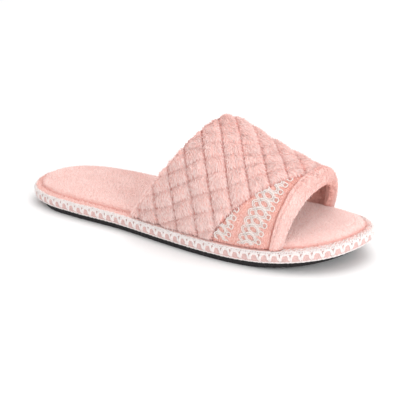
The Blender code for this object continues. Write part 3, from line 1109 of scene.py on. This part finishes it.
def puffed(points, held, settings):
    """Height that a cloth cover gains over a grid when padding presses on it and its stitches are held."""
    columns, rows = points.shape[:2]
    faces = [(k, k + 1, k + rows + 1, k + rows) for column in range(columns - 1)
             for k in range(column * rows, column * rows + rows - 1)]
    rest = points.reshape(-1, 3) * COVER_SCALE
    facing = np.cross(np.gradient(points, axis=1), np.gradient(points, axis=0)).reshape(-1, 3)
    facing /= np.linalg.norm(facing, axis=1)[:, None]
    middle = np.array([points[..., 0].mean(), RIDGE_Y, BAND_TOP]) * COVER_SCALE
    if np.sum(facing * (rest - middle)) < 0:
        facing, faces = -facing, [face[::-1] for face in faces]
    cover = new_mesh_object("cover", rest.tolist(), faces)
    stitches = cover.vertex_groups.new(name="stitches")
    for index, weight in enumerate(held.ravel()):
        stitches.add([index], float(weight), "REPLACE")
    cloth = cover.modifiers.new("cover", "CLOTH").settings
    for key, value in COVER_CLOTH.items():
        setattr(cloth, key, value)
    cloth.tension_stiffness = settings.stiffness
    cloth.compression_stiffness = settings.stiffness
    cloth.shear_stiffness = settings.stiffness / 2
    cloth.uniform_pressure_force = settings.pressure
    cloth.effector_weights.gravity = 0
    cloth.vertex_group_mass = "stitches"
    for number in range(1, COVER_FRAMES + 1):
        bpy.context.scene.frame_set(number)
    seen = cover.evaluated_get(bpy.context.evaluated_depsgraph_get()).to_mesh()
    moved = np.empty(len(rest) * 3, dtype=np.float32)
    seen.vertices.foreach_get("co", moved)
    rise = ((moved.reshape(-1, 3) - rest) * facing).sum(1) / COVER_SCALE
    bpy.data.objects.remove(cover, do_unlink=True)
    bpy.context.scene.frame_set(1)
    return np.clip(rise, -COVER_CAP, COVER_CAP).reshape(columns, rows)


def spread_grid(values, shape):
    """Grid of values stretched over a finer grid."""
    for axis in (0, 1):
        old, new = np.arange(values.shape[axis]), np.linspace(0, values.shape[axis] - 1, shape[axis])
        values = np.apply_along_axis(lambda row: np.interp(new, old, row), axis, values)
    return values


def combed(points, turn, seed):
    """Unit directions of the nap over a grid: along the rows, turned by an angle that wanders softly."""
    along = np.gradient(points, axis=1)
    across = np.gradient(points, axis=0)
    along /= np.linalg.norm(along, axis=-1)[..., None]
    across -= (across * along).sum(-1)[..., None] * along
    across /= np.linalg.norm(across, axis=-1)[..., None]
    angle = turn + 0.5 * smooth_noise(points, 0.009, seed)
    return np.cos(angle)[..., None] * along + np.sin(angle)[..., None] * across


class SLIPPER_OT_vamp(bpy.types.Operator):
    """Make the quilted vamp with its plush pile"""

    bl_idname = "slipper.vamp"
    bl_label = "Quilted vamp"

    def execute(self, context):
        cloth, quilt = context.scene.slipper.cloth, context.scene.slipper.quilt
        side = arch_sides(VAMP_COLUMNS)[:, None]
        rear = edge_x(REAR_EDGE, side)
        front = edge_x(BINDING_SEAM, side) - wedge_width(side)
        x, flat = self.rows(rear, front, HEM_ROWS, VAMP_ROWS)
        side_grid = np.broadcast_to(side, x.shape)
        offset, groove_shade, held = quilting(x, side_grid, quilt)
        held[[0, -1]] = 1
        held[:, -1] = 1
        coarse = slice(None, None, 2), slice(HEM_ROWS, None, 2)
        rise = puffed(vamp_point(x, side_grid, offset)[coarse], held[coarse], quilt)
        offset[:, HEM_ROWS:] -= spread_grid(rise, offset[:, HEM_ROWS:].shape)
        offset = offset * flat + VAMP_WALL / 2 * (1 - flat)
        groove_shade *= flat
        place = vamp_point(x, side_grid, 0.0)
        foot = place[..., 2] - foot_height(x, VAMP_INSET)
        by_wedge = np.clip(wedge_width(side) / WEDGE_FADE, 0.25, 1)
        # Troughs along the front seam and the foot, with painted shade along them
        for distance, (depth, width), share in ((front - x, FRONT_SEAM, by_wedge), (foot, FOOT_SEAM, 1)):
            offset = offset + share * depth * near(distance, width)
            groove_shade = groove_shade + share * 0.8 * near(distance, width * 0.7)
        offset = offset + uneven(place, COVER_LUMPS) + PILE_SUNK * flat
        outer = vamp_point(x, side_grid, offset)
        inner_x, inner_flat = self.rows(rear, front, LINING_HEM_ROWS, LINING_ROWS)
        inner = vamp_point(inner_x, side, VAMP_WALL / 2 * (1 + inner_flat))
        piece = arched_wall("quilted_vamp", outer, inner, {
            "groove_shade": (np.clip(groove_shade, 0, 1), np.zeros_like(inner_x)),
            "lining": (np.zeros_like(x), np.ones_like(inner_x)),
            "nap": (np.clip(foot / NAP_RISE, 0, 1), np.full_like(inner_x, LINING_NAP)),
            "comb": (combed(outer, NAP_TURN, 2.0), combed(inner, NAP_TURN, 4.0)),
            "skin": (skin_place(x, side_grid, 0.0), skin_place(inner_x, side, 0.1))})
        give(piece, plush_finish("vamp_plush", cloth, streak=0.0032, depth=0.5))
        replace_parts(own(piece, "upper"), "upper")
        add_nap(piece, "vamp_pile", (cloth.tuft_density, cloth.tuft_height, cloth.tuft_width, 1.9, 0.5),
                nap_finish("vamp_nap", cloth, depth=0.0), seed=1)
        return {"FINISHED"}

    def rows(self, rear, front, hem_count, count):
        """X of the rows from the rear hem to the front seam, and how flat on the face each lies."""
        turn = np.linspace(math.pi / 2, 0, hem_count, endpoint=False)
        face = rear + (front - rear) * np.linspace(0, 1, count)
        x = np.concatenate([rear - HEM_REACH * np.sin(turn), face], axis=1)
        return x, np.concatenate([np.cos(turn), np.ones(count)])


class SLIPPER_OT_wedge(bpy.types.Operator):
    """Make the flat fabric wedge"""

    bl_idname = "slipper.wedge"
    bl_label = "Side wedge"

    def execute(self, context):
        cloth = context.scene.slipper.cloth
        side = arch_sides(VAMP_COLUMNS)
        side = side[wedge_width(side) > WEDGE_TIP][:, None]
        front = edge_x(BINDING_SEAM, side)
        rear = front - wedge_width(side) + GAP
        x, inner_x = (rear + (front - rear) * np.linspace(0, 1, count)[None, :] for count in WEDGE_ROWS)
        place = vamp_point(x, side, 0.0)
        foot = place[..., 2] - foot_height(x, VAMP_INSET)
        rear_dip, front_dip, foot_dip = map(near, (x - rear, front - x, foot), WEDGE_TROUGHS)
        seams = WEDGE_SEAM * (rear_dip + front_dip + foot_dip)
        outer = vamp_point(x, side, INSERT_SUNK + seams + uneven(place, WEDGE_LUMPS))
        # Painted shade in the seam troughs, and a fainter painted shade over the inner face
        groove_shade = np.clip(0.8 * rear_dip + 0.5 * front_dip + 0.5 * foot_dip, 0, 1)
        inner_skin = np.stack(np.broadcast_arrays(inner_x, 0.0, 0.1), axis=-1)
        piece = arched_wall("side_wedge", outer, vamp_point(inner_x, side, VAMP_WALL), {
            "groove_shade": (groove_shade, np.full_like(inner_x, 0.35)), "skin": (skin_place(x, side, 0.0), inner_skin),
            "nap": (np.ones_like(x), np.zeros_like(inner_x)),
            "lining": (np.full_like(x, 0.45), np.ones_like(inner_x)),
            "comb": (combed(place, -1.5, 5.0), np.zeros((*inner_x.shape, 3)))})
        give(piece, fabric_finish("side_fabric", cloth))
        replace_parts(own(piece, "side_insert"), "side_insert")
        add_nap(piece, "wedge_pile", (cloth.tuft_density, 0.0014, 0.00060, 1.0, 0.8),
                nap_finish("wedge_nap", cloth, depth=0.6), seed=4)
        return {"FINISHED"}


def arched_tube(name, grid, attributes):
    """Solid along the arch whose closed section has all its points in one row of the grid."""
    columns, loop = grid.shape[:2]
    faces = loop_faces(columns, loop)
    faces += [tuple(range(loop)), tuple(range((columns - 1) * loop, columns * loop))]
    flat = {key: values.reshape(columns * loop, *values.shape[2:]) for key, values in attributes.items()}
    return add_piece(name, grid.reshape(-1, 3), faces, flat)


class SLIPPER_OT_roll(bpy.types.Operator):
    """Make the plush roll round the toe opening"""

    bl_idname = "slipper.roll"
    bl_label = "Toe roll"

    def execute(self, context):
        cloth = context.scene.slipper.cloth
        side = arch_sides(VAMP_COLUMNS)[:, None]
        radius = ROLL_THICK / 2
        advance, depth = self.section(side, radius)
        x = edge_x(BINDING_SEAM, side) + advance
        place = vamp_point(x, side, depth)
        foot = place[..., 2] - foot_height(x, VAMP_INSET + depth)
        bulge = uneven(place, ROLL_LUMPS)
        puff = ROLL_PUFF[0] * near(advance - ROLL_FLAT, ROLL_PUFF[1]) * (depth < radius)
        outside = near(depth, ROLL_BACK_ROUND)
        sunk = (bulge - puff + ROLL_FOOT[0] * near(foot, ROLL_FOOT[1])) * outside
        grid = vamp_point(x + bulge * 0.5, side, depth + sunk)
        # Painted shade along the seams of the roll's face and in the crease at its foot
        seams = 0.35 * near(advance - GAP, 0.0008) + 0.2 * near(advance - ROLL_LINE, 0.0005)
        piece = arched_tube("toe_roll", grid, {
            "groove_shade": np.clip(seams * outside + 0.7 * near(foot, 0.0010), 0, 1),
            "nap": (depth < ROLL_THICK * 0.98) & (advance > 0.0008),
            "lining": np.clip((depth - radius) / radius, 0, 1), "comb": combed(grid, -1.2, 6.0),
            "skin": skin_place(x, side, depth)})
        give(piece, plush_finish("roll_plush", cloth, streak=0.0026, depth=0.5))
        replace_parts(own(piece, "toe_binding"), "toe_binding")
        add_nap(piece, "roll_pile", (cloth.tuft_density * 1.1, 0.0018, 0.00060, 1.4, 0.6),
                nap_finish("roll_nap", cloth, depth=0.3), seed=2)
        return {"FINISHED"}

    def section(self, side, radius):
        """Way forward of the seam and depth under the vamp's face, round the roll at each side value."""
        face = np.linspace(GAP, ROLL_FLAT, ROLL_FACE_ROWS)[:-1]
        face_depth = (ROLL_SEAM[0] * near(face - GAP, ROLL_SEAM[1])
                      + ROLL_STITCHES[0] * near(face - ROLL_LINE, ROLL_STITCHES[1]))
        turn = np.linspace(0, math.pi, ROLL_ROUND_ROWS)
        back_depth = np.linspace(ROLL_THICK, ROLL_BACK_END, ROLL_FACE_ROWS)[1:]
        share = np.clip((back_depth - ROLL_THICK) / ROLL_BACK_ROUND + 1, 0, 1)
        back = GAP + ROLL_BACK_ROUND * (1 - np.sqrt(1 - share ** 2))
        reach = 1 - (1 - np.where(side < 0, ROLL_OUTER_REACH, ROLL_INNER_REACH)) * side ** 2
        advance = np.concatenate([face, ROLL_FLAT + radius * np.sin(turn), back]) * reach
        depth = np.concatenate([face_depth, radius * (1 - np.cos(turn)), back_depth])
        return advance, np.broadcast_to(depth, advance.shape)


# Lace

# Columns: distance of the rings behind the seam in mm, start of the drift, first repeat, count
LACE_STRIPS = {
    "lace_trim_front": (10.4, 0.048, -0.0690, 10),
    "lace_trim_rear": (31.6, 0.060, -0.0749, 5),
}
LACE_DRIFT = 0.12
# One repeat of the cord in mm. Loops: place towards the heel and down, half width, half height, tilt
LACE_LOOPS = ((0.0, 0.0, 3.85, 2.95, -0.17), (0.0, 0.0, 2.90, 2.00, -0.17), (-5.5, 0.1, 1.50, 1.70, 0.0))
# Bows: the same, and how far they go round to each side
LACE_ARCS = ((5.0, 2.5, 2.5, 2.7, 1.95), (4.8, 2.5, 1.6, 1.7, 1.75))
LACE_CROSSINGS = (((4.3, 5.0), (2.2, 3.6), (-0.6, 3.1), (-3.0, 2.5), (-4.4, 1.6)),
                  ((4.2, 0.2), (3.2, -2.4), (0.6, -3.3), (-2.0, -2.7), (-4.2, -1.5)))
LACE_CORD_SIDES = 7
LACE_MARGIN = 0.0006
LACE_LOWEST = -0.985


def girth_table():
    """Side values over x and girth, for finding a place on the vamp by its girth."""
    stations = np.arange(0.090, 0.232, 0.002)
    sides = np.linspace(-1, 1, 321)
    turns = np.linspace(-0.100, 0.100, 401)
    rows = [np.interp(turns, girth(np.full(len(sides), x), sides), sides) for x in stations]
    return stations, turns, np.array(rows)


def side_at(table, x, turn):
    """Side value at x and a girth."""
    stations, turns, rows = table
    along = np.clip((x - stations[0]) / (stations[1] - stations[0]), 0, len(stations) - 1.001)
    around = np.clip((turn - turns[0]) / (turns[1] - turns[0]), 0, len(turns) - 1.001)
    i, j = along.astype(int), around.astype(int)
    u, v = along - i, around - j
    return ((1 - u) * ((1 - v) * rows[i, j] + v * rows[i, j + 1])
            + u * ((1 - v) * rows[i + 1, j] + v * rows[i + 1, j + 1]))


class SLIPPER_OT_lace(bpy.types.Operator):
    """Make the two lace trims on the wedge"""

    bl_idname = "slipper.lace"
    bl_label = "Lace trims"

    def execute(self, context):
        settings = context.scene.slipper.lace
        table = girth_table()
        # Painted shade between the cord's plies at 0.78 of its colour
        cord = yarn_finish("lace_cord", settings.yarn_colour, 0.78)
        for name, (ring, drift_from, first, count) in LACE_STRIPS.items():
            strands = []
            for index in range(-1, count):
                for shape, height, closed in self.repeat():
                    down = first + settings.pitch * index - shape[:, 1] * MM
                    behind = (ring + shape[:, 0]) * MM + LACE_DRIFT * np.maximum(-down - drift_from, 0)
                    strands += self.on_wedge(table, behind, down, height, closed)
            piece = yarn_piece(name + "_cord", strands, settings.yarn_radius, LACE_CORD_SIDES, cord)
            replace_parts(own(piece, "lace_trim"), name)
        return {"FINISHED"}

    def repeat(self):
        """Strands of one repeat: points, height over the fabric along them, closed or not."""
        made = []
        around = np.linspace(0, 2 * math.pi, 19)[:-1]
        for number, (behind, down, wide, high, tilt) in enumerate(LACE_LOOPS):
            across, along = wide * np.cos(around), high * np.sin(around)
            loop = np.column_stack([behind + across * math.cos(tilt) - along * math.sin(tilt),
                                    down + across * math.sin(tilt) + along * math.cos(tilt)])
            made.append((loop, 0.65 + 0.2 * np.sin(2 * around + number), True))
        for behind, down, wide, high, reach in LACE_ARCS:
            angle = np.linspace(-reach, reach, 14)
            arc = np.column_stack([behind + wide * np.cos(angle), down + high * np.sin(angle)])
            made.append((arc, 0.5 + 0.2 * np.cos(2 * angle), False))
        for crossing in LACE_CROSSINGS:
            path = smooth_path(crossing, 4)
            made.append((path, 0.35 + 0.25 * np.sin(np.linspace(0, 2 * math.pi, len(path))), False))
        return made

    def on_wedge(self, table, behind, down, height, closed):
        """A strand laid on the wedge and cut off at the wedge's seams and its foot."""
        x = BINDING_SEAM[0] - behind
        for _ in range(3):
            side = side_at(table, x, down)
            x = edge_x(BINDING_SEAM, side) - behind
        kept = (behind < wedge_width(side) - LACE_MARGIN) & (side > LACE_LOWEST) & (side < 0)
        points = vamp_point(x, np.clip(side, -1, 0), INSERT_SUNK - height * MM)
        if kept.all():
            return [(points, closed)]
        if closed:
            shift = int(np.argmin(kept))
            points, kept = np.roll(points, -shift, 0), np.roll(kept, -shift)
        cuts = np.flatnonzero(np.diff(kept)) + 1
        runs = zip(np.split(points, cuts), np.split(kept, cuts))
        return [(run, False) for run, good in runs if good[0] and len(run) > 2]


# Stitched edge

# Section of its core. Columns: inset from the outline and height, in mm
EDGE_SECTION = ((2.6, 4.45), (1.5, 4.5), (0.7, 5.3), (0.35, 6.8), (0.35, 9.0), (0.7, 10.5), (1.6, 11.5),
                (3.0, 11.8), (5.0, 11.75), (6.4, 13.1), (8.4, 14.9))
WALK_STATIONS = 400
YARN_SIDES = 6
CORE_ROWS = 9
CORE_CLOSING = (0.0050, 0.0046)
CORE_TOP = 0.0085
# Bows of the stitch. Columns: half width in units; foot, top and distance out of the core, in mm
EDGE_BOWS = ((0.50, 0.8, 7.5, 0.35), (0.43, 0.9, 7.1, 0.30), (0.36, 1.0, 6.7, 0.15))
BOW_SQUARE = 0.55
VAMP_SEAT = 0.0086
TOE_RISE_FROM = 0.16
TOE_RISE_REACH = 0.05
YARN_SEED = 7
# Chains along the top, in mm: height, half width, distance out of the core and how far that varies
LOW_CHAIN = (7.9, 0.7, 0.35, 0.25)
HIGH_CHAIN = (7.8, 0.6, 0.30, 0.25)


def at_run(run, knots, rows):
    """Rows of a table between its knots, column by column."""
    return np.column_stack([np.interp(run, knots, column) for column in rows.T])


class EdgeWalk:
    """Places on the stitched edge by length along the outline and length up round its section."""

    def __init__(self):
        ring, normals = outline_ring(WALK_STATIONS)
        self.ring = np.vstack([ring, ring[:1]])
        self.normals = np.vstack([normals, normals[:1]])
        self.run = run_length(self.ring)
        self.length = self.run[-1]
        self.section = smooth_path(EDGE_SECTION, 6) * MM
        self.up = run_length(self.section)
        slope = np.gradient(self.section, axis=0)
        slope /= np.linalg.norm(slope, axis=1)[:, None]
        self.facing = np.column_stack([-slope[:, 1], slope[:, 0]])

    def place(self, run, up, out):
        """Point at a run along the outline, a length up the section and a distance out of it."""
        run = np.mod(run, self.length)
        section = at_run(up, self.up, self.section) + out[:, None] * at_run(up, self.up, self.facing)
        flat = at_run(run, self.run, self.ring) - at_run(run, self.run, self.normals) * section[:, :1]
        return np.column_stack([flat, section[:, 1] + lift(flat[:, 0])])


class SLIPPER_OT_edge(bpy.types.Operator):
    """Make the stitched edge: its core and the yarn round it"""

    bl_idname = "slipper.edge"
    bl_label = "Stitched edge"

    def execute(self, context):
        settings, cloth = context.scene.slipper.edge, context.scene.slipper.cloth
        profile = [*smooth_path(EDGE_SECTION[:CORE_ROWS], 3) * MM, CORE_CLOSING]
        loops = sole_loops(profile)
        count = len(loops[0])
        points = np.vstack(loops)
        top = np.repeat([(height > CORE_TOP) * np.clip((inset - 0.0007) / 0.0008, 0, 1)
                         for inset, height in profile], count)
        core = add_piece("edge_core", points, loop_faces(len(loops), count, closed=True), {
            "top": top, "nap": top * (1 - self.under_vamp(points)), "lining": 0.3 * top,
            "comb": np.zeros_like(points)})
        give(core, core_finish("edge_cloth", settings, cloth))
        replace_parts(own(core, "edge_binding"), "edge_binding")
        add_nap(core, "edge_pile", (1.8e6, 0.0016, 0.00060, 0.0, 0.8),
                nap_finish("edge_nap", cloth, depth=0.3), seed=5)
        # Painted shade between the yarn's plies at 0.86 of its colour
        yarn = yarn_finish("edge_yarn", settings.yarn_colour, 0.86)
        strands = self.strands(EdgeWalk(), settings.units)
        piece = yarn_piece("edge_yarn", strands, settings.yarn_radius, YARN_SIDES, yarn)
        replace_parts(own(piece, "edge_binding"), "edge_binding")
        return {"FINISHED"}

    def strands(self, walk, units):
        """All strands of the stitch, each closed round the whole sole."""
        pitch = walk.length / units
        unit = np.arange(units)[:, None]
        rng = np.random.default_rng(YARN_SEED)
        made = []

        def strand(share, up, out, loose=0.12, rise=0.0):
            """One closed strand from its course over one unit; it stands higher round the toe by a rise."""
            share, up, out = np.broadcast_arrays(share, up, out)
            shift = rng.normal(0, loose * 0.35, (units, 1))
            run = (unit + share) * pitch + shift * MM
            high = (up + rng.normal(0, loose, run.shape)) * MM
            away = (out + rng.normal(0, loose * 0.5, run.shape)) * MM
            base = walk.place(run.ravel(), high.ravel(), np.zeros(run.size))
            high = high.ravel() + rise * MM * np.clip((base[:, 0] - TOE_RISE_FROM) / TOE_RISE_REACH, 0, 1)
            high = np.where(self.under_vamp(base), np.minimum(high, VAMP_SEAT), high)
            made.append((walk.place(run.ravel(), high, away.ravel()), True))

        bow = np.linspace(0, math.pi, 12)[:-1]
        wide = np.sign(np.cos(bow)) * np.abs(np.cos(bow)) ** BOW_SQUARE * (1 - 0.12 * np.sin(bow))
        for half, foot, top, out in EDGE_BOWS:
            strand(0.5 - half * wide, foot + (top - foot) * np.sin(bow) ** BOW_SQUARE, out)
        around = np.arange(14) / 14
        wave = 4 * math.pi * around
        up, wide, out, sway = LOW_CHAIN
        for sign in (1, -1):
            strand(around, up + sign * wide * np.sin(wave), out + sign * sway * np.cos(wave), 0.2)
        up, wide, out, sway = HIGH_CHAIN
        for shift, rise in ((0.0, 1.3), (1.6, 2.7)):
            turn = wave + shift
            strand(around, up + wide * np.sin(turn), out + sway * np.cos(turn), 0.25, rise)
        low = np.arange(10) / 10
        dips = np.sin(2 * math.pi * low) ** 2
        strand(low, 1.1 - 0.5 * dips, 0.15 + 0.40 * dips, 0.08)
        strand(low, 1.4 + 0.3 * dips, 0.30 - 0.20 * dips, 0.12)
        return made

    def under_vamp(self, points):
        """Whether the vamp, wedge or roll stands over a place of the edge."""
        side = np.where(points[:, 1] < 0, -1.0, 1.0)
        rear = edge_x(REAR_EDGE, side) - HEM_REACH
        front = edge_x(BINDING_SEAM, side) + ROLL_FLAT + ROLL_THICK / 2
        return (points[:, 0] > rear) & (points[:, 0] < front)


class SLIPPER_PT_panel(bpy.types.Panel):
    """Buttons and settings of the slipper"""

    bl_idname = "SLIPPER_PT_panel"
    bl_label = "Scuff slipper"
    bl_space_type = "VIEW_3D"
    bl_region_type = "UI"
    bl_category = "Slipper"

    def draw(self, context):
        layout = self.layout
        settings = context.scene.slipper
        for group in ("cloth", "quilt", "edge", "lace", "sole", "stage"):
            box = layout.box()
            box.label(text=group.title())
            values = getattr(settings, group)
            for key in values.bl_rna.properties.keys():
                if key not in ("rna_type", "name"):
                    box.prop(values, key)
        for operator in OPERATORS:
            layout.operator(operator.bl_idname)


GROUPS = (ClothSettings, QuiltSettings, EdgeSettings, LaceSettings, SoleSettings, StageSettings,
          SlipperSettings)
OPERATORS = (SLIPPER_OT_stage, SLIPPER_OT_sole, SLIPPER_OT_edge, SLIPPER_OT_footbed, SLIPPER_OT_vamp,
             SLIPPER_OT_wedge, SLIPPER_OT_roll, SLIPPER_OT_lace)


def register():
    """Make the settings, operators and panel known to Blender."""
    for added in (*GROUPS, *OPERATORS, SLIPPER_PT_panel):
        bpy.utils.register_class(added)
    bpy.types.Scene.slipper = PointerProperty(type=SlipperSettings)


def unregister():
    """Take them away again."""
    del bpy.types.Scene.slipper
    for added in reversed((*GROUPS, *OPERATORS, SLIPPER_PT_panel)):
        bpy.utils.unregister_class(added)


def main():
    """Dress the slipper."""
    register()
    bpy.ops.slipper.stage()
    bpy.ops.slipper.sole()
    bpy.ops.slipper.edge()
    bpy.ops.slipper.footbed()
    bpy.ops.slipper.vamp()
    bpy.ops.slipper.wedge()
    bpy.ops.slipper.roll()
    bpy.ops.slipper.lace()


if __name__ == "__main__":
    main()
